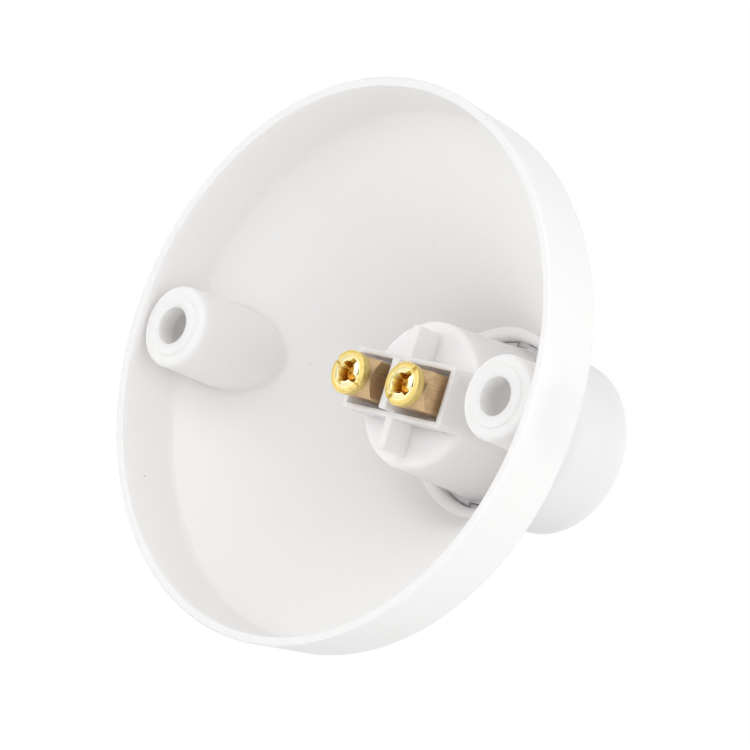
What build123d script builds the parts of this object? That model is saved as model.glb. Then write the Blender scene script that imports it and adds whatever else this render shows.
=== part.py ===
"""Wall lamp holder: one moulded wall dish and tube, a moulded core, and two sprung contacts.

Frame, in millimetres: the wall plane is y = 0 and faces +Y, the lamp axis runs from the origin
along -Y, +Z is up, and the two fixing posts stand on +X and -X.
Round profiles are drawn as (radius, y) and turned about the Y axis.
Sizes that must fit each other are worked out from one of them, so they change together.
"""
import math
import os

from build123d import *

os.makedirs("parts", exist_ok=True)

# Sprung contacts
STEM_R = 2.1
SHOULDER_R = 2.5
SHOULDER_LENGTH = 3.0
CONTACT_REACH = 7.0
TIP_DOME = 1.0
CONTACT_CHAMFER = 0.25
CONTACT_RUNNING_GAP = 0.08
SHOULDER_END_GAP = 0.02
WIRE_R = 0.3
COIL_GUIDE_GAP = 0.28
COIL_TURNS = 9
COIL_END_GAP = 0.03

# Terminal screws
HEAD_R = 3.9
HEAD_SIDE = 0.75
HEAD_HEIGHT = 2.4
HEAD_TOP_ROUND = 0.3
HEAD_EDGE_ROUND = 0.2
SHANK_R = 1.95
SHANK_LENGTH = 8.0
SHANK_CHAMFER = 0.5
RECESS_DEPTH = 2.1
PIT_TOP_R = 2.1
PIT_FLOOR_R = 1.0
ARM_TOP_REACH = 4.3
ARM_FLOOR_REACH = 1.3
ARM_TOP_WIDTH = 1.45
ARM_FLOOR_WIDTH = 0.8
DRIVE_SLOT_WIDTH = 1.0
DRIVE_SLOT_DEPTH = 1.5
DRIVE_TURN_DEG = {"left": 55.0, "right": -27.0}

# Terminal blocks, square in the core and round below it
TERMINAL_X = 6.8
BLOCK_SIDE = 7.0
BLOCK_CORNER_ROUND = 0.25
BLOCK_REAR_R = 2.6
SPIGOT_R = 3.2
SPIGOT_LIP_ROUND = 0.6
SPIGOT_REACH = 0.8
THREAD_GAP = 0.05
THREAD_RUN_OUT = 2.8
GUIDE_END_WALL = 1.5
GUIDE_BORE_R = SHOULDER_R + CONTACT_RUNNING_GAP
LIP_HOLE_R = STEM_R + CONTACT_RUNNING_GAP
LIP_INSIDE_FLOOR = 0.28
THREAD_HOLE_R = SHANK_R + THREAD_GAP
COIL_R = GUIDE_BORE_R - WIRE_R - COIL_GUIDE_GAP

# Bayonet skirt, flange and hub of the core, by radius
MOUTH_BORE_R = 11.35
BORE_STEP = 0.2
SKIRT_WALL = 2.55
FLANGE_WIDTH = 1.2
HUB_OVER_SKIRT = 0.1
HUB_TAPER = 0.7
DEEP_BORE_R = MOUTH_BORE_R - BORE_STEP
SKIRT_R = MOUTH_BORE_R + SKIRT_WALL
FLANGE_R = SKIRT_R + FLANGE_WIDTH
HUB_FRONT_R = SKIRT_R + HUB_OVER_SKIRT
HUB_REAR_R = HUB_FRONT_R - HUB_TAPER
HUB_EDGE_ROUND = 0.8
SKIRT_EDGE_ROUND = 0.5

# Tube of the shell, by radius
SEAT_GAP = 0.2
BORE_GAP = 0.4
MOUTH_GAP = 0.25
NECK_DRAFT = 0.1
NECK_WALL = 2.2
NECK_EDGE_ROUND = 1.2
NECK_FLAT = 0.8
TUBE_END_WALL = 1.8
TUBE_MOUTH_FLAT = 0.2
TUBE_NECK_ROUND = 3.0
TUBE_BORE_R = SKIRT_R + BORE_GAP
TUBE_MOUTH_R = SKIRT_R + MOUTH_GAP
SEAT_R = FLANGE_R + SEAT_GAP
NECK_BORE_R = SEAT_R + NECK_DRAFT
NECK_R = TUBE_BORE_R + NECK_WALL
TUBE_END_R = TUBE_MOUTH_R + TUBE_END_WALL

# Heights along the lamp axis, from the wall to the mouth of the tube
DISH_DEPTH = 42.9
NECK_HEIGHT = 5.1
FLANGE_HEIGHT = 2.8
FLOOR_HEIGHT = 4.5
HUB_HEIGHT = 23.7
TUBE_NECK_HEIGHT = 0.8
MOUTH_BORE_CLEARANCE = 0.5
MOUTH_BORE_LENGTH = 9.5
MOUTH_RECESS = 2.1
MOUTH_ROUND = 2.1
NECK_Y = -DISH_DEPTH
SEAT_Y = NECK_Y - NECK_HEIGHT
FLANGE_REAR_Y = SEAT_Y + FLANGE_HEIGHT
FLOOR_Y = SEAT_Y + FLOOR_HEIGHT
HUB_REAR_Y = SEAT_Y + HUB_HEIGHT
TUBE_NECK_Y = SEAT_Y + TUBE_NECK_HEIGHT
TIP_Y = FLOOR_Y - CONTACT_REACH
MOUTH_BORE_END_Y = TIP_Y - MOUTH_BORE_CLEARANCE
SKIRT_MOUTH_Y = MOUTH_BORE_END_Y - MOUTH_BORE_LENGTH
TUBE_MOUTH_Y = SKIRT_MOUTH_Y - MOUTH_RECESS
LIP_Y = FLOOR_Y + LIP_INSIDE_FLOOR
SHOULDER_FRONT_Y = LIP_Y + SHOULDER_END_GAP
SHOULDER_REAR_Y = SHOULDER_FRONT_Y + SHOULDER_LENGTH
SPIGOT_FRONT_Y = FLOOR_Y - SPIGOT_REACH

# Terminal box on the rear of the hub
POCKET_GAP = 0.1
CELL_GAP_X = 0.75
CELL_GAP_Z = 0.95
BOX_WALL = 0.95
BOX_HEIGHT = 5.5
BOX_EDGE_ROUND = 0.3
BARRIER_WIDTH = 1.8
BARRIER_HEIGHT = 2.5
RIB_LENGTH = 5.7
CELL_DEPTH = 8.2
POCKET_DEPTH = 9.0
SPIGOT_GAP = 0.1
POCKET_HALF = BLOCK_SIDE / 2 + POCKET_GAP
CELL_END_X = TERMINAL_X + POCKET_HALF + CELL_GAP_X
CELL_HALF_Z = POCKET_HALF + CELL_GAP_Z
BOX_X = CELL_END_X + BOX_WALL
BOX_Z = CELL_HALF_Z + BOX_WALL
BOX_TOP_Y = HUB_REAR_Y + BOX_HEIGHT
BARRIER_TOP_Y = BOX_TOP_Y + BARRIER_HEIGHT
RIB_REACH_Z = BOX_Z + RIB_LENGTH
CELL_FLOOR_Y = BOX_TOP_Y - CELL_DEPTH
POCKET_FLOOR_Y = CELL_FLOOR_Y - POCKET_DEPTH
SPIGOT_HOLE_R = SPIGOT_R + SPIGOT_GAP
BLOCK_OVER_BOX = 4.6
BLOCK_REAR_Y = BOX_TOP_Y + BLOCK_OVER_BOX
THREAD_END_Y = BLOCK_REAR_Y - SHANK_LENGTH - THREAD_RUN_OUT
GUIDE_END_Y = THREAD_END_Y - GUIDE_END_WALL

# Hollows moulded in the floor between the contacts and the skirt
HOLLOW_R = DEEP_BORE_R - 0.95
HOLLOW_Z = 5.3
HOLLOW_DEPTH = 7.5
HOLLOW_CORNER = 0.8

# Bayonet slots of the skirt
SLOT_WIDTH = 3.0
SLOT_TURN_DEG = 30.0
SLOT_DEPTH = 8.2
SLOT_BACK = 2.0
SLOT_DEEP_Y = SKIRT_MOUTH_Y + SLOT_DEPTH
SLOT_SEAT_Y = SLOT_DEEP_Y - SLOT_BACK

# Lugs and keys that hold the core in the tube
LUG_OVER_HUB = 0.3
LUG_WIDTH = 7.0
LUG_GAP = 0.15
LUG_HEIGHT = 1.75
LUG_RAMP = 0.7
ROOT_DEPTH = 0.5
KEY_WIDTH = 2.6
KEY_LENGTH = 2.4
KEY_REACH = 0.6
KEY_GAP = 0.15
LUG_R = HUB_FRONT_R + LUG_OVER_HUB
LUG_FRONT_Y = FLANGE_REAR_Y + LUG_GAP
LUG_REAR_Y = LUG_FRONT_Y + LUG_HEIGHT
LUG_ROOT_R = NECK_BORE_R + ROOT_DEPTH
KEY_R = FLANGE_R - KEY_REACH
KEY_ROOT_R = SEAT_R + ROOT_DEPTH
KEY_REAR_Y = SEAT_Y + KEY_LENGTH

# Dish of the shell
RIM_R = 50.0
RIM_WALL = 1.6
RIM_DEPTH = 12.9
RIM_DRAFT = 1.3
RIM_INSIDE_DEPTH = 11.0
RIM_INSIDE_DRAFT = 1.1
DISH_BULGE = 3.3
DISH_WALL = 1.9
RIM_FRONT_ROUND = 1.0
RIM_FOOT_ROUND = 1.5
RIM_EDGE_ROUND = 0.25
RIM_FRONT = (RIM_R - RIM_DRAFT, -RIM_DEPTH)
RIM_FOOT = (RIM_R - RIM_WALL - RIM_INSIDE_DRAFT, -RIM_INSIDE_DEPTH)
NECK_INSIDE = (NECK_BORE_R + NECK_EDGE_ROUND + NECK_FLAT, NECK_Y)
NECK_OUTSIDE = (NECK_R, TUBE_NECK_Y)

# Fixing posts
POST_FROM_RIM = 9.5
POST_X = RIM_R - POST_FROM_RIM
COLLAR_Y = -0.9
COLLAR_HEIGHT = 0.35
COLLAR_R = 5.4
COLLAR_ROUND = 0.2
POST_TIP_Y = COLLAR_Y - COLLAR_HEIGHT
POST_TIP_R = 7.4
POST_TIP_ROUND = 0.8
POST_FOOT_Y = -26.0
POST_FOOT_R = 8.05
POST_FOOT_ROUND = 1.2
SCREW_HOLE_R = 3.38
WELL_R = 5.3
WELL_FLOOR_Y = -4.4

SIDES = {"left": -1, "right": 1}


def turned(edges, rounds=()):
    """Turn a closed profile of edges about the Y axis, after rounding the corners listed."""
    profile = make_face(edges)
    for corner, radius in rounds:
        spot = min(profile.vertices(), key=lambda v: math.dist((v.X, v.Y), corner))
        profile = fillet(spot, radius)
    return revolve(profile, Axis.Y, 360)


def outline(*points):
    """The closed run of straight edges through the points."""
    return Polyline(*points, close=True).edges()


def bow(start, end, height):
    """The middle of an arc that stands a height off its chord, on the side of the axis and the wall."""
    length = math.dist(start, end)
    across = ((end[1] - start[1]) / length, (start[0] - end[0]) / length)
    return ((start[0] + end[0]) / 2 + across[0] * height, (start[1] + end[1]) / 2 + across[1] * height)


def cap(edge_r, edge_y, top_y):
    """The arc of a round cap, from its edge to the point where it meets the axis."""
    height = abs(top_y - edge_y)
    sphere_r = (edge_r**2 + height**2) / (2 * height)
    half_turn = math.asin(edge_r / sphere_r) / 2
    away = 1 if top_y > edge_y else -1
    mid_y = top_y - away * sphere_r * (1 - math.cos(half_turn))
    return ThreePointArc((edge_r, edge_y), (sphere_r * math.sin(half_turn), mid_y), (0, top_y))


def box(x0, x1, y0, y1, z0, z1):
    """A box between the given limits."""
    centre = Pos((x0 + x1) / 2, (y0 + y1) / 2, (z0 + z1) / 2)
    return centre * Box(abs(x1 - x0), abs(y1 - y0), abs(z1 - z0))


def soft_box(x0, x1, y0, y1, z0, z1, radius):
    """A box with its upright edges and the edges of its rear face rounded."""
    solid = box(x0, x1, y0, y1, z0, z1)
    rear = solid.faces().sort_by(Axis.Y)[-1]
    return fillet(solid.edges().filter_by(Axis.Y) + rear.edges(), radius)


def rod(radius, y0, y1, x=0.0, z=0.0):
    """A round rod along Y between two heights."""
    return Pos(x, (y0 + y1) / 2, z) * Rot(90, 0, 0) * Cylinder(radius, abs(y1 - y0))


def dish_inside():
    """The inner face of the dish as one arc, from the neck to the foot of the rim."""
    return ThreePointArc(NECK_INSIDE, bow(RIM_FOOT, NECK_INSIDE, DISH_BULGE), RIM_FOOT)


def dish_outside():
    """The outer face of the dish as one arc, from the front of the rim to the neck."""
    return ThreePointArc(RIM_FRONT, bow(RIM_FOOT, NECK_INSIDE, DISH_BULGE - DISH_WALL), NECK_OUTSIDE)


def shell_body():
    """The dish and the tube, turned in one piece."""
    rim_inside = (RIM_R - RIM_WALL, 0)
    mouth_outer = (TUBE_MOUTH_R + TUBE_MOUTH_FLAT, TUBE_MOUTH_Y)
    mouth_inner = (TUBE_MOUTH_R, TUBE_MOUTH_Y)
    mouth_round_start = (TUBE_END_R, TUBE_MOUTH_Y + MOUTH_ROUND)
    bore_edge = (NECK_BORE_R, NECK_Y - NECK_EDGE_ROUND)
    flat_edge = (NECK_BORE_R + NECK_EDGE_ROUND, NECK_Y)
    edges = [
        Line(rim_inside, (RIM_R, 0)),
        Line((RIM_R, 0), RIM_FRONT),
        dish_outside(),
        Line(NECK_OUTSIDE, mouth_round_start),
        TangentArc(mouth_round_start, mouth_outer, tangent=(0, -1)),
        Line(mouth_outer, mouth_inner),
        Line(mouth_inner, (TUBE_BORE_R, SEAT_Y)),
        Line((TUBE_BORE_R, SEAT_Y), (SEAT_R, SEAT_Y)),
        Line((SEAT_R, SEAT_Y), bore_edge),
        TangentArc(bore_edge, flat_edge, tangent=(0, 1)),
        Line(flat_edge, NECK_INSIDE),
        dish_inside(),
        Line(RIM_FOOT, rim_inside),
    ]
    rounds = [
        (rim_inside, RIM_EDGE_ROUND),
        ((RIM_R, 0), RIM_EDGE_ROUND),
        (RIM_FRONT, RIM_FRONT_ROUND),
        (NECK_OUTSIDE, TUBE_NECK_ROUND),
        (RIM_FOOT, RIM_FOOT_ROUND),
    ]
    return turned(edges, rounds)


def dish_block():
    """Everything between the wall plane and the outer face of the dish, as one filled solid."""
    edges = [
        Line((0, 0), (RIM_R, 0)),
        Line((RIM_R, 0), RIM_FRONT),
        dish_outside(),
        Line(NECK_OUTSIDE, (0, TUBE_NECK_Y)),
        Line((0, TUBE_NECK_Y), (0, 0)),
    ]
    return turned(edges)


def post(side):
    """One hollow fixing post, before its hole is cut."""
    tip = (POST_TIP_R, POST_TIP_Y)
    edges = outline(
        (0, COLLAR_Y),
        (COLLAR_R, COLLAR_Y),
        (COLLAR_R, POST_TIP_Y),
        tip,
        (POST_FOOT_R, POST_FOOT_Y),
        (0, POST_FOOT_Y),
    )
    rounds = [(tip, POST_TIP_ROUND), ((COLLAR_R, COLLAR_Y), COLLAR_ROUND)]
    return Pos(side * POST_X, 0, 0) * turned(edges, rounds)


def lug(side):
    """One lug in the tube that keeps the core from coming back out."""
    profile = outline(
        (LUG_ROOT_R, LUG_FRONT_Y),
        (LUG_R, LUG_FRONT_Y),
        (LUG_R, LUG_REAR_Y - LUG_RAMP),
        (LUG_R + LUG_RAMP, LUG_REAR_Y),
        (LUG_ROOT_R, LUG_REAR_Y),
    )
    solid = extrude(make_face(profile), LUG_WIDTH / 2, both=True)
    return solid if side > 0 else mirror(solid, Plane.YZ)


def make_body_shell():
    """Dish, tube, posts, lugs and keys as one moulding."""
    shell = shell_body()
    filled = dish_block()
    for side in SIDES.values():
        shell += post(side) & filled
        shell += lug(side)
        shell += box(-KEY_WIDTH / 2, KEY_WIDTH / 2, SEAT_Y, KEY_REAR_Y, side * KEY_R, side * KEY_ROOT_R)
    for side in SIDES.values():
        shell -= rod(WELL_R, POST_FOOT_Y, WELL_FLOOR_Y, side * POST_X)
        shell -= rod(SCREW_HOLE_R, POST_FOOT_Y, 0, side * POST_X)
    return shell


def slot_cutter(turn_deg):
    """One bayonet slot: straight in from the mouth, round to the seat, and back a little."""
    half = SLOT_WIDTH / 2
    inner = DEEP_BORE_R - 1
    outer = SKIRT_R + 1
    way_in = box(-half, half, SKIRT_MOUTH_Y - 1, SLOT_DEEP_Y, inner, outer)
    seat = box(-half, half, SLOT_SEAT_Y, SLOT_DEEP_Y, inner, outer)
    end_round = Pos(0, SLOT_DEEP_Y, (inner + outer) / 2) * Cylinder(half, outer - inner)
    seat_round = Pos(0, SLOT_SEAT_Y, (inner + outer) / 2) * Cylinder(half, outer - inner)
    band = outline(
        (inner, SLOT_DEEP_Y - half),
        (outer, SLOT_DEEP_Y - half),
        (outer, SLOT_DEEP_Y + half),
        (inner, SLOT_DEEP_Y + half),
    )
    run = revolve(make_face(band), Axis.Y, SLOT_TURN_DEG)
    start = Rot(0, -90, 0) * run
    at_entry = Rot(0, -SLOT_TURN_DEG, 0)
    cutter = seat + seat_round + end_round + at_entry * way_in + at_entry * end_round
    cutter += at_entry * start
    return Rot(0, turn_deg, 0) * cutter


def make_core():
    """Hub, flange and bayonet skirt as one moulding, with the terminal box on its rear."""
    hub_edge = (HUB_REAR_R, HUB_REAR_Y)
    skirt_edge = (SKIRT_R, SKIRT_MOUTH_Y)
    edges = outline(
        (0, HUB_REAR_Y),
        hub_edge,
        (HUB_FRONT_R, FLANGE_REAR_Y),
        (FLANGE_R, FLANGE_REAR_Y),
        (FLANGE_R, SEAT_Y),
        (SKIRT_R, SEAT_Y),
        skirt_edge,
        (MOUTH_BORE_R, SKIRT_MOUTH_Y),
        (MOUTH_BORE_R, MOUTH_BORE_END_Y),
        (DEEP_BORE_R, MOUTH_BORE_END_Y),
        (DEEP_BORE_R, FLOOR_Y),
        (0, FLOOR_Y),
    )
    core = turned(edges, [(hub_edge, HUB_EDGE_ROUND), (skirt_edge, SKIRT_EDGE_ROUND)])
    core += soft_box(-BOX_X, BOX_X, HUB_REAR_Y - 2, BOX_TOP_Y, -BOX_Z, BOX_Z, BOX_EDGE_ROUND)
    rib_half = BARRIER_WIDTH / 2
    for side in SIDES.values():
        core -= box(side * BOX_X, side * FLANGE_R, FLANGE_REAR_Y, BOX_TOP_Y, -FLANGE_R, FLANGE_R)
        rib_z = (side * CELL_HALF_Z, side * RIB_REACH_Z)
        core += soft_box(-rib_half, rib_half, HUB_REAR_Y - 1, BOX_TOP_Y, *rib_z, BOX_EDGE_ROUND)
    for side in SIDES.values():
        cell_x = (side * rib_half, side * CELL_END_X)
        core -= box(*cell_x, CELL_FLOOR_Y, BOX_TOP_Y, -CELL_HALF_Z, CELL_HALF_Z)
        pocket_x = side * TERMINAL_X
        pocket_sides = (pocket_x - POCKET_HALF, pocket_x + POCKET_HALF)
        core -= box(*pocket_sides, POCKET_FLOOR_Y, CELL_FLOOR_Y, -POCKET_HALF, POCKET_HALF)
        core -= rod(SPIGOT_HOLE_R, FLOOR_Y, POCKET_FLOOR_Y, pocket_x)
        core -= hollow(side)
        core -= slot_cutter(0 if side > 0 else 180)
        notch_half = KEY_WIDTH / 2 + KEY_GAP
        notch_z = (side * (KEY_R - KEY_GAP), side * FLANGE_R)
        core -= box(-notch_half, notch_half, SEAT_Y, FLANGE_REAR_Y, *notch_z)
    barrier_z = (-CELL_HALF_Z, CELL_HALF_Z)
    core += soft_box(-rib_half, rib_half, BOX_TOP_Y - 1, BARRIER_TOP_Y, *barrier_z, BOX_EDGE_ROUND)
    return core


def hollow(side):
    """One D-shaped hollow in the floor of the skirt."""
    disc = Circle(HOLLOW_R)
    keep = Pos(0, HOLLOW_R / 2 + HOLLOW_Z) * Rectangle(2 * HOLLOW_R, HOLLOW_R)
    shape = disc & keep
    shape = fillet(shape.vertices(), HOLLOW_CORNER)
    solid = extrude(shape, HOLLOW_DEPTH)
    return Pos(0, FLOOR_Y, 0) * Rot(-90, 0, 0) * (solid if side < 0 else Rot(0, 0, 180) * solid)


def make_terminal_block(side):
    """One brass block: square in the core, coned under the screw, round and bored for the contact."""
    half = BLOCK_SIDE / 2
    bar = box(-half, half, POCKET_FLOOR_Y, BLOCK_REAR_Y, -half, half)
    bar = fillet(bar.edges().filter_by(Axis.Y), BLOCK_CORNER_ROUND)
    reach = BLOCK_SIDE
    cone = turned(
        outline(
            (0, BLOCK_REAR_Y),
            (BLOCK_REAR_R, BLOCK_REAR_Y),
            (BLOCK_REAR_R + reach, BLOCK_REAR_Y - reach),
            (BLOCK_REAR_R + reach, POCKET_FLOOR_Y),
            (0, POCKET_FLOOR_Y),
        )
    )
    lip = (SPIGOT_R, SPIGOT_FRONT_Y)
    spigot = turned(
        outline((0, POCKET_FLOOR_Y), (SPIGOT_R, POCKET_FLOOR_Y), lip, (0, SPIGOT_FRONT_Y)),
        [(lip, SPIGOT_LIP_ROUND)],
    )
    block = (bar & cone) + spigot
    block -= rod(GUIDE_BORE_R, LIP_Y, GUIDE_END_Y)
    block -= rod(LIP_HOLE_R, SPIGOT_FRONT_Y, LIP_Y)
    block -= rod(THREAD_HOLE_R, THREAD_END_Y, BLOCK_REAR_Y)
    return Pos(side * TERMINAL_X, 0, 0) * block


def level_face(width, depth, y):
    """A rectangle that lies across the lamp axis at a height."""
    return Pos(0, y, 0) * Rot(-90, 0, 0) * Rectangle(width, depth)


def drive_recess(top_y):
    """The cross recess of a screw: a round pit and four arms, all narrowing to the floor."""
    floor_y = top_y - RECESS_DEPTH
    recess = turned(outline((0, floor_y), (PIT_FLOOR_R, floor_y), (PIT_TOP_R, top_y), (0, top_y)))
    wide = level_face(2 * ARM_TOP_REACH, ARM_TOP_WIDTH, top_y)
    narrow = level_face(2 * ARM_FLOOR_REACH, ARM_FLOOR_WIDTH, floor_y)
    arms = loft([wide, narrow])
    return recess + arms + Rot(0, 90, 0) * arms


def make_terminal_screw(side, turn_deg):
    """One pan-head screw with a cross recess and a shallow slot right across its head."""
    top_y = BLOCK_REAR_Y + HEAD_HEIGHT
    end_y = BLOCK_REAR_Y - SHANK_LENGTH
    under = (HEAD_R, BLOCK_REAR_Y)
    corner = (HEAD_R, BLOCK_REAR_Y + HEAD_SIDE)
    edges = [
        Line((0, top_y), (0, end_y)),
        Line((0, end_y), (SHANK_R - SHANK_CHAMFER, end_y)),
        Line((SHANK_R - SHANK_CHAMFER, end_y), (SHANK_R, end_y + SHANK_CHAMFER)),
        Line((SHANK_R, end_y + SHANK_CHAMFER), (SHANK_R, BLOCK_REAR_Y)),
        Line((SHANK_R, BLOCK_REAR_Y), under),
        Line(under, corner),
        cap(*corner, top_y),
    ]
    screw = turned(edges, [(under, HEAD_EDGE_ROUND), (corner, HEAD_TOP_ROUND)])
    screw -= drive_recess(top_y)
    half = DRIVE_SLOT_WIDTH / 2
    screw -= box(-HEAD_R - 1, HEAD_R + 1, top_y - DRIVE_SLOT_DEPTH, top_y + 1, -half, half)
    return Pos(side * TERMINAL_X, 0, 0) * Rot(0, turn_deg, 0) * screw


def make_contact_plunger(side):
    """One contact: a shoulder held behind the lip of the block and a domed stem."""
    rear = (SHOULDER_R, SHOULDER_REAR_Y)
    front = (SHOULDER_R, SHOULDER_FRONT_Y)
    dome_start = (STEM_R, TIP_Y + TIP_DOME)
    edges = [
        Line((0, SHOULDER_REAR_Y), rear),
        Line(rear, front),
        Line(front, (STEM_R, SHOULDER_FRONT_Y)),
        Line((STEM_R, SHOULDER_FRONT_Y), dome_start),
        cap(*dome_start, TIP_Y),
        Line((0, TIP_Y), (0, SHOULDER_REAR_Y)),
    ]
    return Pos(side * TERMINAL_X, 0, 0) * turned(edges, [(rear, CONTACT_CHAMFER)])


def make_contact_spring(side):
    """One coil spring between the blind end of the block and the contact."""
    end_room = WIRE_R + COIL_END_GAP
    height = GUIDE_END_Y - SHOULDER_REAR_Y - 2 * end_room
    path = Helix(height / COIL_TURNS, height, COIL_R)
    wire = sweep((path ^ 0) * Circle(WIRE_R), path=path)
    upright = Rot(90, 0, 0) * wire
    return Pos(side * TERMINAL_X, GUIDE_END_Y - end_room, 0) * upright


pieces = {"body_shell": make_body_shell(), "core": make_core()}
for name, side in SIDES.items():
    pieces[f"terminal_block_{name}"] = make_terminal_block(side)
    pieces[f"terminal_screw_{name}"] = make_terminal_screw(side, DRIVE_TURN_DEG[name])
    pieces[f"contact_plunger_{name}"] = make_contact_plunger(side)
    pieces[f"contact_spring_{name}"] = make_contact_spring(side)

for name, piece in pieces.items():
    export_step(piece, f"parts/{name}.step")
    span = piece.bounding_box()
    print(name, len(piece.solids()), "solid", round(piece.volume, 1), span.min, span.max)
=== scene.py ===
"""Wall lamp holder in white moulded plastic, with brass terminals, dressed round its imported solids."""
import math

import bpy
import numpy as np
from mathutils import Matrix, Vector


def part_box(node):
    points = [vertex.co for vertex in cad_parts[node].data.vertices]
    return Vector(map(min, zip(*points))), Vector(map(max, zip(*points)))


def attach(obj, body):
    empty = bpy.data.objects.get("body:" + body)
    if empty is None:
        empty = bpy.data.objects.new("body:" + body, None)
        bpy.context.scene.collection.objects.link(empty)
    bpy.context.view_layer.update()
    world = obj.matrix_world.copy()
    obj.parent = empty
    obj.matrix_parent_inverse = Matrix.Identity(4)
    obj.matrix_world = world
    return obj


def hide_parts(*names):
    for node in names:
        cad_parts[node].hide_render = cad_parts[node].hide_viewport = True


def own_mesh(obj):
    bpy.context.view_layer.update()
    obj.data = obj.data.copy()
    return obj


bl_info = {
    "name": "Wall lamp holder",
    "version": (1, 0, 0),
    "blender": (4, 5, 0),
    "location": "View3D > Sidebar > Lamp holder",
    "description": "Finishes a moulded wall lamp holder and its brass terminals",
    "category": "Object",
}

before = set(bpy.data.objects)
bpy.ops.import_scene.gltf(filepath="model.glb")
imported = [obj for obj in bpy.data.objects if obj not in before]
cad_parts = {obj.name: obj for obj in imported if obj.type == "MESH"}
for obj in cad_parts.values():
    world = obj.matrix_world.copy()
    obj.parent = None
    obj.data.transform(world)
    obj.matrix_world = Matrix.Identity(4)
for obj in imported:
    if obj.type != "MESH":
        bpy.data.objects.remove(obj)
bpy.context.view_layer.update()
SIDES = {"left": -1, "right": 1}
IMAGE_PX = 750
SENSOR_MM = 36.0
CLIP_RANGE = (0.01, 20.0)
WHITE = (1.0, 1.0, 1.0, 1.0)

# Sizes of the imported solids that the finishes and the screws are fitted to, in metres
POST_X = 0.0405
POST_FOOT_R = 0.00805
POST_FOOT_TOP = -0.009
TERMINAL_X = 0.0068
BLOCK_REAR_Y = -0.0142
HEAD_R = 0.0039
SHANK_R = 0.00195
SHANK_LENGTH = 0.008
MM = 0.001

# How far each screw is turned, as the photograph shows its recess
DRIVE_TURN_DEG = {"left": 55.0, "right": -27.0}


class HolderPlastic(bpy.types.PropertyGroup):
    """What the moulded plastic looks like"""

    shell_colour: bpy.props.FloatVectorProperty(
        name="Shell colour",
        description="Linear colour of the moulded dish and tube",
        subtype="COLOR",
        size=3,
        default=(0.952, 0.924, 0.916),
    )
    core_colour: bpy.props.FloatVectorProperty(
        name="Core colour",
        description="Linear colour of the moulded core",
        subtype="COLOR",
        size=3,
        default=(0.972, 0.953, 0.948),
    )
    speck_colour: bpy.props.FloatVectorProperty(
        name="Speck colour",
        description="Linear colour of the tiny specks in the moulding",
        subtype="COLOR",
        size=3,
        default=(0.45, 0.41, 0.38),
    )
    shell_roughness: bpy.props.FloatProperty(
        name="Shell roughness",
        description="How matt the dish and tube are",
        default=0.42,
        min=0.0,
        max=1.0,
        subtype="FACTOR",
    )
    core_roughness: bpy.props.FloatProperty(
        name="Core roughness",
        description="How matt the core is",
        default=0.35,
        min=0.0,
        max=1.0,
        subtype="FACTOR",
    )
    depth_of_light: bpy.props.FloatProperty(
        name="Depth of light",
        description="How far light travels inside the plastic",
        default=0.002,
        min=0.0,
        unit="LENGTH",
    )
    translucency: bpy.props.FloatProperty(
        name="Translucency",
        description="Share of the light that goes into the plastic before it comes back",
        default=1.0,
        min=0.0,
        max=1.0,
        subtype="FACTOR",
    )
    foot_round: bpy.props.FloatProperty(
        name="Foot round",
        description="Radius of the blend where a fixing post meets the dish",
        default=0.0018,
        min=0.0002,
        unit="LENGTH",
    )


class HolderBrass(bpy.types.PropertyGroup):
    """What the terminals and contacts look like"""

    block_colour: bpy.props.FloatVectorProperty(
        name="Block colour",
        description="Linear colour of the drawn brass of the terminal blocks",
        subtype="COLOR",
        size=3,
        default=(0.68, 0.48, 0.27),
    )
    screw_colour: bpy.props.FloatVectorProperty(
        name="Screw colour",
        description="Linear colour of the bright brass of the screws",
        subtype="COLOR",
        size=3,
        default=(0.72, 0.56, 0.2),
    )
    # Partly painted highlight: the lands are paler as if a lamp shone on them, and their burnish shows
    # in the lower roughness
    land_highlight_colour: bpy.props.FloatVectorProperty(
        name="Land colour",
        description="Linear colour of the burnished lands of a screw",
        subtype="COLOR",
        size=3,
        default=(0.97, 0.88, 0.5),
    )
    # Painted shade: the brass deep in a screw's recess is darkened towards this brown, where little
    # light reaches
    recess_shade_colour: bpy.props.FloatVectorProperty(
        name="Grime colour",
        description="Linear colour of the tarnish deep in the recess of a screw",
        subtype="COLOR",
        size=3,
        default=(0.5, 0.27, 0.05),
    )
    contact_colour: bpy.props.FloatVectorProperty(
        name="Contact colour",
        description="Linear colour of the turned brass of the contacts",
        subtype="COLOR",
        size=3,
        default=(0.78, 0.58, 0.26),
    )
    spring_colour: bpy.props.FloatVectorProperty(
        name="Spring colour",
        description="Linear colour of the steel wire of the springs",
        subtype="COLOR",
        size=3,
        default=(0.6, 0.6, 0.58),
    )


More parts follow.
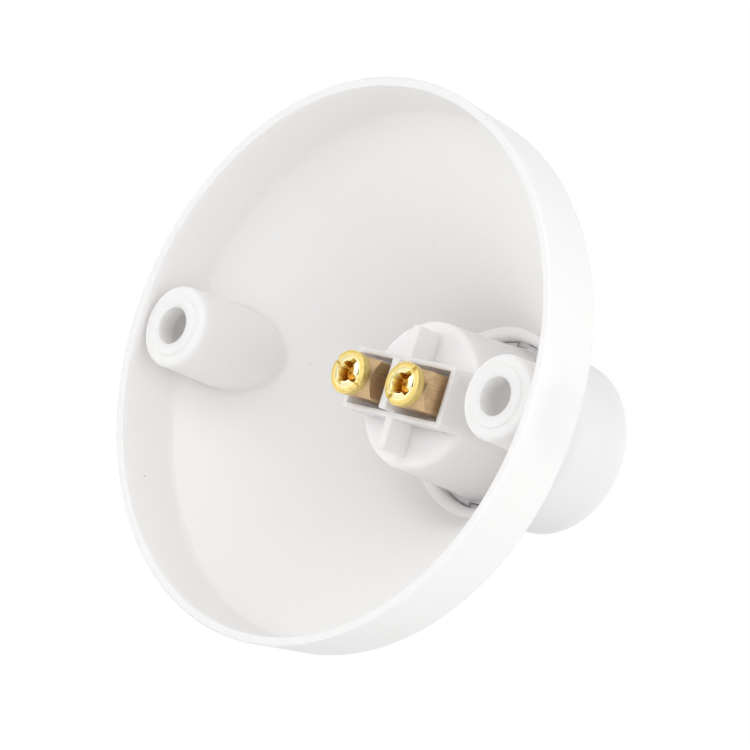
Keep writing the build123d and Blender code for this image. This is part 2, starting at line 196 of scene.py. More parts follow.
class HolderScrews(bpy.types.PropertyGroup):
    """Sizes of the terminal screws' heads and threads"""

    shoulder_round: bpy.props.FloatProperty(
        name="Shoulder round",
        description="Radius between the side of the head and its face",
        default=0.0005,
        unit="LENGTH",
    )
    ring_height: bpy.props.FloatProperty(
        name="Ring height",
        description="Height of the flat ring of the face above the terminal block",
        default=0.0016,
        unit="LENGTH",
    )
    land_radius: bpy.props.FloatProperty(
        name="Land radius",
        description="Outer radius of the raised lands between the arms of the recess",
        default=0.0029,
        unit="LENGTH",
    )
    land_rise: bpy.props.FloatProperty(
        name="Land rise",
        description="How far the lands stand above the ring",
        default=0.0005,
        unit="LENGTH",
    )
    pit_radius: bpy.props.FloatProperty(
        name="Pit radius",
        description="Radius of the round pit at the face",
        default=0.0019,
        unit="LENGTH",
    )
    recess_depth: bpy.props.FloatProperty(
        name="Recess depth",
        description="Depth of the recess under the face",
        default=0.0021,
        unit="LENGTH",
    )
    arm_width: bpy.props.FloatProperty(
        name="Arm width",
        description="Width of an arm of the recess at the face",
        default=0.0014,
        unit="LENGTH",
    )
    arm_reach: bpy.props.FloatProperty(
        name="Arm reach",
        description="How far an arm of the recess reaches from the axis",
        default=0.0028,
        unit="LENGTH",
    )
    slot_width: bpy.props.FloatProperty(
        name="Slot width",
        description="Width of the slot across the head",
        default=0.0009,
        unit="LENGTH",
    )
    slot_depth: bpy.props.FloatProperty(
        name="Slot depth",
        description="Depth of the slot under the ring of the face",
        default=0.0005,
        unit="LENGTH",
    )
    thread_pitch: bpy.props.FloatProperty(
        name="Thread pitch",
        description="Distance from one ridge of the thread to the next",
        default=0.0007,
        unit="LENGTH",
    )


class HolderSprings(bpy.types.PropertyGroup):
    """Sizes of the springs behind the contacts"""

    turns: bpy.props.FloatProperty(
        name="Turns",
        description="Number of turns of the coil, the closed end turns among them",
        default=10.5,
        min=4.0,
    )
    wire_radius: bpy.props.FloatProperty(
        name="Wire radius",
        description="Radius of the spring wire",
        default=0.0003,
        unit="LENGTH",
    )
    end_turns: bpy.props.FloatProperty(
        name="End turns",
        description="Number of turns that lie closed at each end",
        default=0.9,
        min=0.0,
    )


class HolderStage(bpy.types.PropertyGroup):
    """Where the camera stands and how the holder is lit"""

    azimuth: bpy.props.FloatProperty(
        name="Azimuth",
        description="Which way round the holder the camera stands, in degrees",
        default=226.52,
    )
    elevation: bpy.props.FloatProperty(
        name="Elevation",
        description="How far above the holder the camera stands, in degrees",
        default=-4.39,
    )
    roll: bpy.props.FloatProperty(
        name="Roll",
        description="How far the camera is turned about its own axis, in degrees",
        default=17.0,
    )
    distance: bpy.props.FloatProperty(
        name="Distance",
        description="How far the camera stands from the middle of the rim",
        default=0.7941,
        unit="LENGTH",
    )
    focal_px: bpy.props.FloatProperty(
        name="Focal length in pixels",
        description="The lens of the photograph, in pixels of its frame",
        default=4685.99,
    )
    rim_middle_px: bpy.props.FloatVectorProperty(
        name="Middle of the rim in the frame",
        description="Where the photograph shows the middle of the rim, in pixels",
        size=2,
        default=(324.26, 357.96),
    )
    world_level: bpy.props.FloatProperty(
        name="World level",
        description="Strength of the even light all round",
        default=0.66,
    )
    room_level: bpy.props.FloatProperty(
        name="Room level",
        description="Brightness of the room behind the camera, as the brass mirrors it",
        default=0.15,
        min=0.0,
        max=1.0,
        subtype="FACTOR",
    )
    lamp_distance: bpy.props.FloatProperty(
        name="Lamp distance",
        description="How far the soft lamps stand from the holder",
        default=0.7,
        unit="LENGTH",
    )
    lamp_size: bpy.props.FloatProperty(
        name="Lamp size",
        description="Width of each soft lamp",
        default=0.5,
        unit="LENGTH",
    )
    floor_height: bpy.props.FloatProperty(
        name="Floor height",
        description="Height of the floor under the middle of the rim",
        default=-0.12,
        unit="LENGTH",
    )


def empty_material(name):
    """A material of this name with one shader, clean of other nodes."""
    material = bpy.data.materials.get(name) or bpy.data.materials.new(name)
    material.use_nodes = True
    tree = material.node_tree
    tree.nodes.clear()
    shader = tree.nodes.new("ShaderNodeBsdfPrincipled")
    output = tree.nodes.new("ShaderNodeOutputMaterial")
    tree.links.new(shader.outputs["BSDF"], output.inputs["Surface"])
    return material, tree, shader


def own_place(tree, stretch=(1.0, 1.0, 1.0)):
    """The piece's own coordinates, stretched along its axes."""
    place = tree.nodes.new("ShaderNodeTexCoord")
    mapping = tree.nodes.new("ShaderNodeMapping")
    mapping.inputs["Scale"].default_value = stretch
    tree.links.new(place.outputs["Object"], mapping.inputs["Vector"])
    return mapping.outputs["Vector"]


def noise(tree, place, per_metre, detail=2.0):
    """A noise between 0 and 1, with so many waves to a metre and so many finer layers."""
    texture = tree.nodes.new("ShaderNodeTexNoise")
    texture.inputs["Scale"].default_value = per_metre
    texture.inputs["Detail"].default_value = detail
    tree.links.new(place, texture.inputs["Vector"])
    return texture.outputs["Fac"]


def spread(tree, value, taken, given=(0.0, 1.0)):
    """A value carried from one range to another, and kept inside it."""
    node = tree.nodes.new("ShaderNodeMapRange")
    node.inputs["From Min"].default_value = taken[0]
    node.inputs["From Max"].default_value = taken[1]
    node.inputs["To Min"].default_value = given[0]
    node.inputs["To Max"].default_value = given[1]
    tree.links.new(value, node.inputs["Value"])
    return node.outputs["Result"]


def blend(tree, share, first, second):
    """A colour between two colours or colour outputs."""
    node = tree.nodes.new("ShaderNodeMix")
    node.data_type = "RGBA"
    tree.links.new(share, node.inputs["Factor"])
    for socket, colour in ((node.inputs[6], first), (node.inputs[7], second)):
        if isinstance(colour, bpy.types.NodeSocket):
            tree.links.new(colour, socket)
        else:
            socket.default_value = (*colour, 1.0)
    return node.outputs[2]


def calculate(tree, operation, first, second=0.0):
    """One sum on two values or outputs."""
    node = tree.nodes.new("ShaderNodeMath")
    node.operation = operation
    for socket, value in zip(node.inputs, (first, second)):
        if isinstance(value, bpy.types.NodeSocket):
            tree.links.new(value, socket)
        else:
            socket.default_value = value
    return node.outputs[0]


def attribute(tree, name):
    """A value that the mesh keeps on its points."""
    node = tree.nodes.new("ShaderNodeAttribute")
    node.attribute_name = name
    return node.outputs["Fac"]


def bump(tree, shader, height, distance, normal=None):
    """A fine relief of a given depth on the shader's normal."""
    node = tree.nodes.new("ShaderNodeBump")
    node.inputs["Strength"].default_value = 1.0
    node.inputs["Distance"].default_value = distance
    tree.links.new(height, node.inputs["Height"])
    if normal is not None:
        tree.links.new(normal, node.inputs["Normal"])
    tree.links.new(node.outputs["Normal"], shader.inputs["Normal"])


def shade(colour, factor):
    """A colour made darker or paler by a factor."""
    return tuple(min(1.0, part * factor) for part in colour)


def dress(node, material):
    """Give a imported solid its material."""
    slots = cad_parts[node].data.materials
    if len(slots):
        slots[0] = material
    else:
        slots.append(material)


# Ranges of a noise: where most of its values lie, and a little wider
MIDDLE = (0.35, 0.65)
WIDE = (0.3, 0.7)

# Foot of a fixing post: how far from its wall the blend is whole and where it ends, in metres
FOOT_REACH = (0.0018, 0.0032)
FOOT_FADE = 0.001
BEVEL_SAMPLES = 8


def soft_feet(tree, round_radius):
    """A normal that blends each fixing post into the dish, and leaves all other edges as they are."""
    apart = tree.nodes.new("ShaderNodeSeparateXYZ")
    tree.links.new(own_place(tree), apart.inputs[0])
    aside = calculate(tree, "SUBTRACT", calculate(tree, "ABSOLUTE", apart.outputs["X"]), POST_X)
    squares = [calculate(tree, "MULTIPLY", side, side) for side in (aside, apart.outputs["Z"])]
    distance = calculate(tree, "SQRT", calculate(tree, "ADD", *squares))
    off_wall = calculate(tree, "ABSOLUTE", calculate(tree, "SUBTRACT", distance, POST_FOOT_R))
    near_wall = spread(tree, off_wall, FOOT_REACH, (1.0, 0.0))
    low = spread(tree, apart.outputs["Y"], (POST_FOOT_TOP - FOOT_FADE, POST_FOOT_TOP), (1.0, 0.0))
    share = calculate(tree, "MULTIPLY", near_wall, low)
    node = tree.nodes.new("ShaderNodeBevel")
    node.samples = BEVEL_SAMPLES
    tree.links.new(calculate(tree, "MULTIPLY", share, round_radius), node.inputs["Radius"])
    return node.outputs["Normal"]


# Moulded plastic: its patterns in waves or cells to a metre, their tones, and their depth in metres
FLOW_PER_M = 45.0
FLOW_SHADE = 0.988
SPECK_CELLS_PER_M = 170.0
SPECK_EDGE = (0.018, 0.04)
SPECK_CHOICE_PER_M = 190.0
SPECK_CHOSEN = (0.6, 0.62)
GLOSS_PER_M = 260.0
GLOSS_BELOW = 0.04
GLOSS_ABOVE = 0.05
PEEL_PER_M = 1400.0
PEEL_DEPTH = 0.000012
LIGHT_RADIUS = (1.0, 0.97, 0.95)


def moulded_plastic(name, colour, roughness, look, foot_round=None):
    """White moulded plastic: soft flow marks, faint orange peel and a few tiny dark specks.

    With a foot round, the fixing posts are blended into the dish.
    """
    material, tree, shader = empty_material(name)
    place = own_place(tree)
    flow = spread(tree, noise(tree, place, FLOW_PER_M, detail=3.0), MIDDLE)
    white = blend(tree, flow, shade(colour, FLOW_SHADE), colour)
    cells = tree.nodes.new("ShaderNodeTexVoronoi")
    cells.inputs["Scale"].default_value = SPECK_CELLS_PER_M
    cells.inputs["Randomness"].default_value = 1.0
    tree.links.new(place, cells.inputs["Vector"])
    near_speck = spread(tree, cells.outputs["Distance"], SPECK_EDGE, (1.0, 0.0))
    chosen = spread(tree, noise(tree, place, SPECK_CHOICE_PER_M, detail=0.0), SPECK_CHOSEN)
    specked = calculate(tree, "MULTIPLY", near_speck, chosen)
    tree.links.new(blend(tree, specked, white, look.speck_colour), shader.inputs["Base Color"])
    gloss_range = (roughness - GLOSS_BELOW, roughness + GLOSS_ABOVE)
    gloss = spread(tree, noise(tree, place, GLOSS_PER_M), WIDE, gloss_range)
    tree.links.new(gloss, shader.inputs["Roughness"])
    shader.inputs["Subsurface Weight"].default_value = look.translucency
    shader.inputs["Subsurface Scale"].default_value = look.depth_of_light
    shader.inputs["Subsurface Radius"].default_value = LIGHT_RADIUS
    peel = noise(tree, place, PEEL_PER_M)
    normal = soft_feet(tree, foot_round) if foot_round else None
    bump(tree, shader, peel, PEEL_DEPTH, normal)
    return material


# Drawn brass: streaks stretched along the bar, stains, and how matt it is between them
STREAK_STRETCH = (1.0, 0.06, 1.0)
STREAKS_PER_M = 5200.0
STREAK_SHADES = (0.8, 1.15)
STREAK_GLOSS = (0.34, 0.5)
STREAK_DEPTH = 0.00001
STAINS_PER_M = 420.0
STAIN_START = (0.45, 0.75)
STAIN_SHARE = 0.6
STAIN_SHADE = 0.62


def drawn_brass(name, colour):
    """Dull drawn bar: fine streaks along the bar, darker where it was handled."""
    material, tree, shader = empty_material(name)
    streaks = noise(tree, own_place(tree, STREAK_STRETCH), STREAKS_PER_M, detail=3.0)
    stain = noise(tree, own_place(tree), STAINS_PER_M, detail=3.0)
    shader.inputs["Metallic"].default_value = 1.0
    dark, pale = (shade(colour, factor) for factor in STREAK_SHADES)
    tone = blend(tree, spread(tree, streaks, WIDE), dark, pale)
    stained = spread(tree, stain, STAIN_START, (0.0, STAIN_SHARE))
    colours = blend(tree, stained, tone, shade(colour, STAIN_SHADE))
    tree.links.new(colours, shader.inputs["Base Color"])
    tree.links.new(spread(tree, streaks, WIDE, STREAK_GLOSS), shader.inputs["Roughness"])
    bump(tree, shader, streaks, STREAK_DEPTH)
    return material


# Turned brass: tool marks, tarnish, how matt it is where turned and where pressed, and the painted shade
# deep in the recess
MARKS_PER_M = 3800.0
MARK_SHADES = (0.93, 1.05)
MARK_WEAR = (0.85, 1.25)
MARK_DEPTH = 0.000008
TARNISH_PER_M = 900.0
TARNISH_START = (0.56, 0.75)
TARNISH_SHARE = 0.7
TARNISH_SHADE = 0.6
RECESS_SHADE_START = (0.12, 0.75)
SCREW_GLOSS = (0.4, 0.14)
CONTACT_GLOSS = (0.36, 0.2)


def bright_brass(name, colour, gloss_range, look):
    """Bright turned brass: satin where it was turned, polished where it was pressed with a paler painted
    highlight laid on it there, a little tarnished.

    The mesh says where it was pressed and how deep each point lies in the recess, where shade is painted
    as a darker brown.
    """
    material, tree, shader = empty_material(name)
    place = own_place(tree)
    marks = noise(tree, place, MARKS_PER_M, detail=3.0)
    tarnish = noise(tree, place, TARNISH_PER_M, detail=3.0)
    # Where the lands were pressed: they are made smoother there, and a painted highlight is laid on them
    pressed = attribute(tree, "polish_and_highlight")
    shader.inputs["Metallic"].default_value = 1.0
    dark, pale = (shade(colour, factor) for factor in MARK_SHADES)
    tone = blend(tree, spread(tree, marks, MIDDLE), dark, pale)
    tarnished = spread(tree, tarnish, TARNISH_START, (0.0, TARNISH_SHARE))
    spotted = blend(tree, tarnished, tone, shade(colour, TARNISH_SHADE))
    # Painted highlight: the pressed lands take a paler colour that stands in for a lamp's highlight on
    # them
    burnished_and_highlighted = blend(tree, pressed, spotted, look.land_highlight_colour)
    # Painted shade: the deeper a point lies in the recess, the nearer its colour comes to the dark brown
    recess_shade_share = spread(tree, attribute(tree, "depth"), RECESS_SHADE_START)
    tree.links.new(blend(tree, recess_shade_share, burnished_and_highlighted, look.recess_shade_colour), shader.inputs["Base Color"])
    gloss = spread(tree, pressed, (0.0, 1.0), gloss_range)
    worn = calculate(tree, "MULTIPLY", gloss, spread(tree, marks, WIDE, MARK_WEAR))
    tree.links.new(worn, shader.inputs["Roughness"])
    bump(tree, shader, marks, MARK_DEPTH)
    return material


# Spring wire: its scratches, their tones, how matt they are and their depth
SCRATCHES_PER_M = 6000.0
SCRATCH_SHADES = (0.85, 1.1)
SCRATCH_GLOSS = (0.31, 0.42)
SCRATCH_DEPTH = 0.000005


def spring_wire(name, colour):
    """Drawn steel wire with fine scratches."""
    material, tree, shader = empty_material(name)
    scratches = noise(tree, own_place(tree), SCRATCHES_PER_M)
    shader.inputs["Metallic"].default_value = 1.0
    dark, pale = (shade(colour, factor) for factor in SCRATCH_SHADES)
    tree.links.new(blend(tree, scratches, dark, pale), shader.inputs["Base Color"])
    tree.links.new(spread(tree, scratches, WIDE, SCRATCH_GLOSS), shader.inputs["Roughness"])
    bump(tree, shader, scratches, SCRATCH_DEPTH)
    return material


def soft_minimum(first, second, width):
    """The lower of two heights, with the corner between them rounded over a given width."""
    gap = np.clip(0.5 + (second - first) / (2 * width), 0, 1)
    return second * (1 - gap) + first * gap - width * gap * (1 - gap)


# Screw face, in millimetres: the lands' dome, how steeply the cuts fall, and the rounds between them
LAND_SEAT = 0.1
LAND_FULLNESS = 3
LAND_ROUND = 0.04
PIT_SLOPE = 3.2
ARM_SIDE_SLOPE = 4.0
ARM_END_SLOPE = 1.8
SLOT_SLOPE = 3.0
SLOT_FLARE = 0.12
CUT_ROUND = 0.06


def drive_face(radius, angle, look):
    """Height of the screw's face above the block, in millimetres, and how deep it lies in the recess.

    A rounded shoulder falls to the side, a flat ring lies inside it, and domed lands rise inside the
    ring. The recess is the lower of three tapered cuts: a round pit, a cross of two arms, and a slot
    right across the head along the first arm.
    """
    along = np.abs(radius * np.cos(angle))
    across = np.abs(radius * np.sin(angle))
    side_r = HEAD_R / MM
    shoulder = look.shoulder_round / MM
    ring = look.ring_height / MM
    fall = np.clip((radius - (side_r - shoulder)) / shoulder, 0, 1)
    face = ring - shoulder * (1 - np.sqrt(1 - fall**2))
    top = ring + look.land_rise / MM
    off_axis = radius / (look.land_radius / MM)
    dome = np.sqrt(np.clip(1 - off_axis**LAND_FULLNESS, 0, 1))
    land = ring - LAND_SEAT + (top - ring + LAND_SEAT) * dome
    uncut = -soft_minimum(-face, -land, LAND_ROUND)
    cuts = [top - PIT_SLOPE * (look.pit_radius / MM - radius)]
    for run, width in ((along, across), (across, along)):
        wall = top - ARM_SIDE_SLOPE * (look.arm_width / (2 * MM) - width)
        end = top - ARM_END_SLOPE * (look.arm_reach / MM - run)
        cuts.append(np.maximum(wall, end))
    slot_wall = top - SLOT_SLOPE * (look.slot_width / (2 * MM) + SLOT_FLARE - across)
    cuts.append(np.maximum(slot_wall, ring - look.slot_depth / MM))
    floor = top - look.recess_depth / MM
    face = uncut
    for cut in cuts:
        face = soft_minimum(face, np.maximum(cut, floor), CUT_ROUND)
    return face, np.clip((uncut - face) / (top - floor), 0, 1)


# Thread, in millimetres: where it starts under the head, how soon it is full, and its depth to a pitch
THREAD_START = 0.5
THREAD_RUN_IN = 0.7
THREAD_DEPTH_SHARE = 0.32 / 0.7


def thread_radius(height, angle, pitch):
    """Radius of the shank: a right-hand thread of rounded ridges that fades out under the head."""
    turn = height / pitch + angle / (2 * math.pi)
    ridge = 0.5 + 0.5 * np.cos(2 * math.pi * turn)
    fade = np.clip((-height - THREAD_START) / THREAD_RUN_IN, 0, 1)
    return SHANK_R / MM - THREAD_DEPTH_SHARE * pitch * (1 - ridge) * fade


# Grid of a screw: points to a ring, and rings on the face, on its outer edge and on the shank
RING_POINTS = 360
FACE_RINGS = 71
EDGE_RINGS = 18
SHANK_RINGS = 84

# Places on a screw, in millimetres: where the face and the shank start, the face's edge, and the tip
FACE_START_R = 0.02
EDGE_WIDTH = 0.55
SHANK_START = 0.06
TIP_R = 1.35
POLISH_AND_HIGHLIGHT_MARGIN = 0.05

# Side and underside of a head, in millimetres: steps in from the side, and heights above the block
HEAD_SIDE = ((0.0, 0.8), (0.0, 0.4), (0.0, 0.18), (0.04, 0.07))
HEAD_UNDERSIDE = ((0.12, 0.0), (0.9, 0.0), (1.9, 0.0))
HEAD_PROFILE = np.array(HEAD_SIDE + HEAD_UNDERSIDE)


def screw_surface(side_name, look):
    """One terminal screw as a closed grid: face, side, underside, threaded shank and tapered end.

    The rows run from the middle of the face to the middle of the shank's end, and the columns go
    round the axis, so every row is a closed ring. The shank ends in a cone of 45 degrees.
    """
    angle = np.linspace(0, 2 * math.pi, RING_POINTS, endpoint=False)[None, :]
    every_way = np.ones_like(angle)
    side_r = HEAD_R / MM
    inner_r = np.linspace(FACE_START_R, side_r - EDGE_WIDTH, FACE_RINGS, endpoint=False)
    edge_r = side_r - EDGE_WIDTH * np.linspace(1, 0, EDGE_RINGS) ** 2
    face_r = np.concatenate((inner_r, edge_r))[:, None]
    face_y, face_depth = drive_face(face_r, angle, look)
    # The lands, which are made smoother and given a painted highlight
    face_polish_and_highlight = (face_r < look.land_radius / MM + POLISH_AND_HIGHLIGHT_MARGIN) * every_way
    step_in, under_y = HEAD_PROFILE.T[:, :, None] * every_way
    length = SHANK_LENGTH / MM
    down = -np.linspace(SHANK_START, length, SHANK_RINGS)[:, None] * every_way
    shank_r = thread_radius(down, angle, look.thread_pitch / MM)
    shank_r = np.minimum(shank_r, TIP_R + length + down)
    radius = np.concatenate((face_r * every_way, side_r - step_in, shank_r))
    height = np.concatenate((face_y, under_y, down))
    below_face = np.zeros((len(HEAD_PROFILE) + SHANK_RINGS, RING_POINTS))
    polish_and_highlight = np.concatenate((face_polish_and_highlight, below_face))
    depth = np.concatenate((face_depth, below_face))
    turned = angle - math.radians(DRIVE_TURN_DEG[side_name])
    grid = np.stack((radius * np.cos(turned), height, radius * np.sin(turned)), axis=-1) * MM
    grid += np.array((SIDES[side_name] * TERMINAL_X, BLOCK_REAR_Y, 0))
    return closed_rings("terminal_screw", grid, {"polish_and_highlight": polish_and_highlight, "depth": depth})


# Spring: points to a turn and round the wire, turns over which it opens, closed rise in wire radii
TURN_POINTS = 40
WIRE_POINTS = 12
OPENING_TURNS = 0.8
CLOSED_RISE = 2.1


def spring_surface(side_name, look):
    """One coil spring as a round wire carried along a helix.

    The rise of each turn is that of the wire's thickness in the closed ends and grows evenly towards the
    open middle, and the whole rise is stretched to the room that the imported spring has.
    """
    low, high = (np.array(corner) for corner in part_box(f"contact_spring_{side_name}"))
    wire = look.wire_radius
    coil_r = (high[0] - low[0]) / 2 - wire
    turn = np.linspace(0, look.turns, int(look.turns * TURN_POINTS))
    from_end = np.minimum(turn, look.turns - turn) - look.end_turns
    open_share = np.clip(from_end / OPENING_TURNS + 0.5, 0, 1)
    length = high[1] - low[1] - 2 * wire
    closed_rise = CLOSED_RISE * wire
    open_rise = (length / look.turns - closed_rise) / open_share.mean()
    rise = closed_rise + open_rise * open_share
    fallen = np.concatenate(((0,), np.cumsum(rise[1:] + rise[:-1])))
    fallen *= length / fallen[-1]
    angle = 2 * math.pi * turn
    outward = np.stack((np.cos(angle), np.zeros_like(angle), np.sin(angle)), axis=-1)
    middle = outward * coil_r
    middle[:, 0] += (low[0] + high[0]) / 2
    middle[:, 1] = high[1] - wire - fallen
    along = np.gradient(middle, axis=0)
    along /= np.linalg.norm(along, axis=1, keepdims=True)
    beside = np.cross(along, outward)
    round_wire = np.linspace(0, 2 * math.pi, WIRE_POINTS, endpoint=False)[None, :, None]
    section = np.cos(round_wire) * outward[:, None] + np.sin(round_wire) * beside[:, None]
    grid = middle[:, None] + wire * section
    return closed_rings("contact_spring", grid, {})


def closed_rings(name, grid, values):
    """A mesh of rings, closed at both ends by a middle point, with values kept on its points."""
    rows, turns = grid.shape[:2]
    poles = np.stack((grid[0].mean(axis=0), grid[-1].mean(axis=0)))
    points = np.concatenate((grid.reshape(-1, 3), poles))
    row = np.arange(rows - 1)[:, None] * turns
    column = np.arange(turns)[None, :]
    after = (column + 1) % turns
    corners = (row + column, row + after, row + turns + after, row + turns + column)
    quads = np.stack(corners, axis=-1).reshape(-1, 4)
    ring = np.arange(turns)
    following = np.roll(ring, -1)
    first_pole = rows * turns
    last_ring = first_pole - turns
    near = np.stack((np.full(turns, first_pole), following, ring), axis=-1)
    far = np.stack((np.full(turns, first_pole + 1), last_ring + ring, last_ring + following), axis=-1)
    mesh = bpy.data.meshes.new(name)
    mesh.from_pydata(points.tolist(), [], quads.tolist() + near.tolist() + far.tolist())
    for label, field in values.items():
        layer = mesh.attributes.new(label, "FLOAT", "POINT")
        on_points = np.concatenate((field.ravel(), field[0, :1], field[-1, :1]))
        layer.data.foreach_set("value", on_points.astype(np.float32))
    mesh.shade_smooth()
    return mesh


def add_piece(scene, name, mesh, material):
    """Put a finished mesh of one material into the scene."""
    mesh.materials.append(bpy.data.materials[material])
    piece = bpy.data.objects.new(name, mesh)
    scene.collection.objects.link(piece)
    return piece


class MouldPlastic(bpy.types.Operator):
    """Finish the shell and the core in white plastic"""

    bl_idname = "holder.mould_plastic"
    bl_label = "Moulded plastic"

    def execute(self, context):
        look = context.scene.holder_plastic
        feet = look.foot_round
        shell = moulded_plastic("shell_plastic", look.shell_colour, look.shell_roughness, look, feet)
        core = moulded_plastic("core_plastic", look.core_colour, look.core_roughness, look)
        dress("body_shell", shell)
        dress("core", core)
        return {"FINISHED"}


class FinishBrass(bpy.types.Operator):
    """Finish the terminals and contacts in brass"""

    bl_idname = "holder.finish_brass"
    bl_label = "Brass"

    def execute(self, context):
        look = context.scene.holder_brass
        block = drawn_brass("block_brass", look.block_colour)
        screw = bright_brass("screw_brass", look.screw_colour, SCREW_GLOSS, look)
        contact = bright_brass("contact_brass", look.contact_colour, CONTACT_GLOSS, look)
        spring = spring_wire("spring_steel", look.spring_colour)
        for side in SIDES:
            dress(f"terminal_block_{side}", block)
            dress(f"terminal_screw_{side}", screw)
            dress(f"contact_plunger_{side}", contact)
            dress(f"contact_spring_{side}", spring)
        return {"FINISHED"}


class TurnScrews(bpy.types.Operator):
    """Turn the two terminal screws, with their drive recesses and threads"""

    bl_idname = "holder.turn_screws"
    bl_label = "Terminal screws"

    def execute(self, context):
        look = context.scene.holder_screws
        for side in SIDES:
            mesh = screw_surface(side, look)
            screw = add_piece(context.scene, f"cross_screw_{side}", mesh, "screw_brass")
            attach(screw, f"screw_{side}")
            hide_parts(f"terminal_screw_{side}")
        return {"FINISHED"}


class WindSprings(bpy.types.Operator):
    """Wind the two springs that press the contacts out"""

    bl_idname = "holder.wind_springs"
    bl_label = "Contact springs"

    def execute(self, context):
        look = context.scene.holder_springs
        for side in SIDES:
            node = f"contact_spring_{side}"
            mesh = spring_surface(side, look)
            spring = add_piece(context.scene, f"coil_spring_{side}", mesh, "spring_steel")
            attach(spring, "holder")
            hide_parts(node)
            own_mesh(spring)
        return {"FINISHED"}


def camera_axes(stage):
    """The camera's back, right and up directions, from its angles about the holder."""
    azimuth, elevation, roll = (math.radians(v) for v in (stage.azimuth, stage.elevation, stage.roll))
    back = Vector(
        (
            math.sin(azimuth) * math.cos(elevation),
            -math.cos(azimuth) * math.cos(elevation),
            math.sin(elevation),
        )
    )
    level = Vector((math.cos(azimuth), math.sin(azimuth), 0.0))
    upright = back.cross(level)
    right = level * math.cos(roll) + upright * math.sin(roll)
    up = upright * math.cos(roll) - level * math.sin(roll)
    return back, right, up


def place_camera(scene, stage):
    """Stand the camera where the photograph was taken from."""
    back, right, up = camera_axes(stage)
    eye = back * stage.distance
    metres_per_px = stage.distance / stage.focal_px
    off_x = (IMAGE_PX / 2 - stage.rim_middle_px[0]) * metres_per_px
    off_y = (stage.rim_middle_px[1] - IMAGE_PX / 2) * metres_per_px
    aim = right * off_x + up * off_y
    look_back = (eye - aim).normalized()
    look_right = (right - look_back * right.dot(look_back)).normalized()
    look_up = look_back.cross(look_right)
    data = bpy.data.cameras.new("camera")
    data.sensor_width = SENSOR_MM
    data.lens = stage.focal_px * SENSOR_MM / IMAGE_PX
    data.clip_start, data.clip_end = CLIP_RANGE
    camera = bpy.data.objects.new("camera", data)
    scene.collection.objects.link(camera)
    turn = Matrix((look_right, look_up, look_back)).transposed().to_4x4()
    camera.matrix_world = Matrix.Translation(eye) @ turn
    scene.camera = camera


# Where each soft lamp stands, as steps right, up and towards the camera, and how bright it is
SOFT_LAMPS = {
    "side_lamp": ((-1, 0, 0), 0.27),
    "key_lamp": ((-1, 1, 1), 0.21),
    "fill_lamp": ((1, 0, 1), 0.32),
}

# The point on the holder's axis that the lamps are aimed at, in metres
LAMP_AIM = (0.0, -0.03, 0.0)


def place_lamps(scene, stage):
    """Stand the soft lamps round the holder, each aimed at it.

    A lamp of full power lights a white surface that faces it to a level of 1.
    """
    back, right, up = camera_axes(stage)
    full_power = math.pi**2 * stage.lamp_distance**2
    for name, (steps, level) in SOFT_LAMPS.items():
        toward = (right * steps[0] + up * steps[1] + back * steps[2]).normalized()
        data = bpy.data.lights.new(name, "AREA")
        data.shape = "DISK"
        data.size = stage.lamp_size
        data.energy = level * full_power
        lamp = bpy.data.objects.new(name, data)
        scene.collection.objects.link(lamp)
        lamp.location = Vector(LAMP_AIM) + toward * stage.lamp_distance
        lamp.rotation_euler = toward.to_track_quat("Z", "Y").to_euler()


def seen_directly(tree):
    """1 where a ray comes from the camera, a mirror or glass, and 0 where it carries light."""
    rays = tree.nodes.new("ShaderNodeLightPath").outputs
    mirrored = calculate(tree, "MAXIMUM", rays["Is Camera Ray"], rays["Is Glossy Ray"])
    return calculate(tree, "MAXIMUM", mirrored, rays["Is Transmission Ray"])


# How nearly a mirrored direction points at the camera where the dark room starts and where it is full
ROOM_EDGE = (0.55, 0.9)


def even_world(scene, stage):
    """Even light all round, with a white backdrop where it is seen.

    Metal mirrors a darker room behind the camera, and is all that sees it.
    """
    world = bpy.data.worlds.new("studio")
    scene.world = world
    world.use_nodes = True
    tree = world.node_tree
    tree.nodes.clear()
    output = tree.nodes.new("ShaderNodeOutputWorld")
    light = tree.nodes.new("ShaderNodeBackground")
    backdrop = tree.nodes.new("ShaderNodeBackground")
    mix = tree.nodes.new("ShaderNodeMixShader")
    light.inputs["Color"].default_value = WHITE
    light.inputs["Strength"].default_value = stage.world_level
    backdrop.inputs["Color"].default_value = WHITE
    direction = tree.nodes.new("ShaderNodeTexCoord")
    toward = tree.nodes.new("ShaderNodeVectorMath")
    toward.operation = "DOT_PRODUCT"
    toward.inputs[1].default_value = camera_axes(stage)[0]
    tree.links.new(direction.outputs["Generated"], toward.inputs[0])
    dark_room = spread(tree, toward.outputs["Value"], ROOM_EDGE, (0.0, 1.0 - stage.room_level))
    rays = tree.nodes.new("ShaderNodeLightPath").outputs
    mirrored = calculate(tree, "MULTIPLY", dark_room, rays["Is Glossy Ray"])
    tree.links.new(calculate(tree, "SUBTRACT", 1.0, mirrored), backdrop.inputs["Strength"])
    tree.links.new(seen_directly(tree), mix.inputs["Fac"])
    tree.links.new(light.outputs[0], mix.inputs[1])
    tree.links.new(backdrop.outputs[0], mix.inputs[2])
    tree.links.new(mix.outputs[0], output.inputs["Surface"])


# Floor: half its width and where it starts and ends to fade, in metres, its paint and its lift
FLOOR_REACH = 4.0
FLOOR_FADE = (0.12, 0.45)
FLOOR_PAINT = (0.9, 0.9, 0.9, 1.0)
FLOOR_LIFT = 0.25


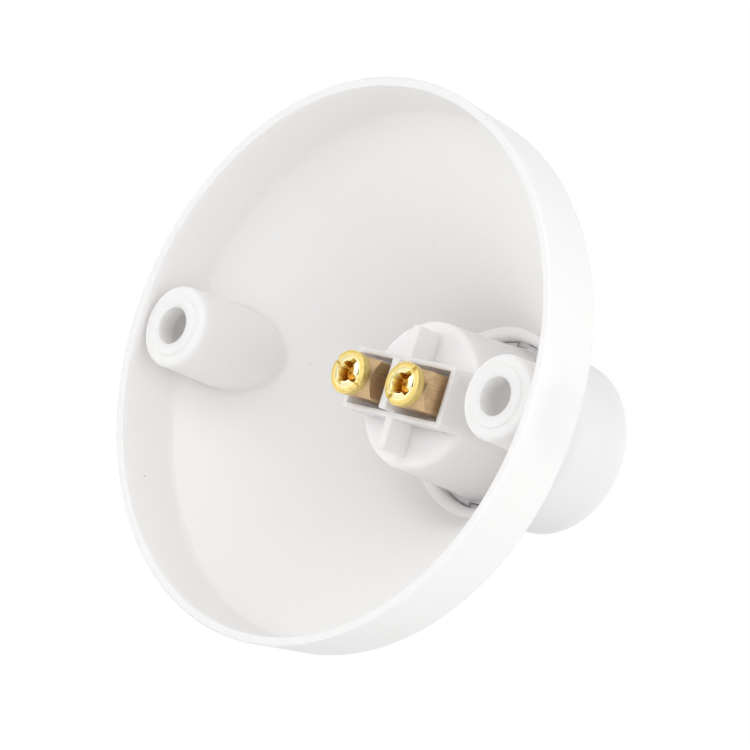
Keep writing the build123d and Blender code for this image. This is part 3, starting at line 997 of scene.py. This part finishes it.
def white_floor(scene, stage):
    """A white floor that keeps a soft shadow near the holder and fades into the backdrop."""
    mesh = bpy.data.meshes.new("floor")
    corners = [(x * FLOOR_REACH, y * FLOOR_REACH, 0) for x, y in ((-1, -1), (1, -1), (1, 1), (-1, 1))]
    mesh.from_pydata(corners, [], [(0, 1, 2, 3)])
    floor = bpy.data.objects.new("floor", mesh)
    floor.location = (0, 0, stage.floor_height)
    scene.collection.objects.link(floor)
    material = bpy.data.materials.new("floor_white")
    material.use_nodes = True
    tree = material.node_tree
    tree.nodes.clear()
    output = tree.nodes.new("ShaderNodeOutputMaterial")
    paint = tree.nodes.new("ShaderNodeBsdfDiffuse")
    paint.inputs["Color"].default_value = FLOOR_PAINT
    lift = tree.nodes.new("ShaderNodeEmission")
    lift.inputs["Strength"].default_value = FLOOR_LIFT
    lit = tree.nodes.new("ShaderNodeAddShader")
    white = tree.nodes.new("ShaderNodeEmission")
    faded = tree.nodes.new("ShaderNodeMixShader")
    shown = tree.nodes.new("ShaderNodeMixShader")
    length = tree.nodes.new("ShaderNodeVectorMath")
    length.operation = "LENGTH"
    tree.links.new(own_place(tree), length.inputs[0])
    tree.links.new(spread(tree, length.outputs["Value"], FLOOR_FADE), faded.inputs["Fac"])
    tree.links.new(paint.outputs[0], lit.inputs[0])
    tree.links.new(lift.outputs[0], lit.inputs[1])
    tree.links.new(lit.outputs[0], faded.inputs[1])
    tree.links.new(white.outputs[0], faded.inputs[2])
    tree.links.new(seen_directly(tree), shown.inputs["Fac"])
    tree.links.new(paint.outputs[0], shown.inputs[1])
    tree.links.new(faded.outputs[0], shown.inputs[2])
    tree.links.new(shown.outputs[0], output.inputs["Surface"])
    mesh.materials.append(material)


class SetStage(bpy.types.Operator):
    """Place the camera, the lamps, the floor and the backdrop"""

    bl_idname = "holder.set_stage"
    bl_label = "Stage"

    def execute(self, context):
        scene = context.scene
        stage = scene.holder_stage
        scene.view_settings.view_transform = "Standard"
        place_camera(scene, stage)
        place_lamps(scene, stage)
        even_world(scene, stage)
        white_floor(scene, stage)
        return {"FINISHED"}


class HolderPanel(bpy.types.Panel):
    """The steps that build the lamp holder"""

    bl_idname = "HOLDER_PT_steps"
    bl_label = "Lamp holder"
    bl_space_type = "VIEW_3D"
    bl_region_type = "UI"
    bl_category = "Lamp holder"

    def draw(self, context):
        for step in STEPS:
            self.layout.operator(step.bl_idname)


STEPS = (MouldPlastic, FinishBrass, TurnScrews, WindSprings, SetStage)
GROUPS = {
    "holder_plastic": HolderPlastic,
    "holder_brass": HolderBrass,
    "holder_screws": HolderScrews,
    "holder_springs": HolderSprings,
    "holder_stage": HolderStage,
}
CLASSES = (*GROUPS.values(), *STEPS, HolderPanel)


def register():
    """Make the groups, operators and panel known, and give each scene its groups."""
    for item in CLASSES:
        bpy.utils.register_class(item)
    for name, group in GROUPS.items():
        setattr(bpy.types.Scene, name, bpy.props.PointerProperty(type=group))


def unregister():
    """Take back what register gave."""
    for name in GROUPS:
        delattr(bpy.types.Scene, name)
    for item in reversed(CLASSES):
        bpy.utils.unregister_class(item)


def main():
    """Build the lamp holder and its stage."""
    register()
    bpy.ops.holder.mould_plastic()
    bpy.ops.holder.finish_brass()
    bpy.ops.holder.turn_screws()
    bpy.ops.holder.wind_springs()
    bpy.ops.holder.set_stage()


if __name__ == "__main__":
    main()
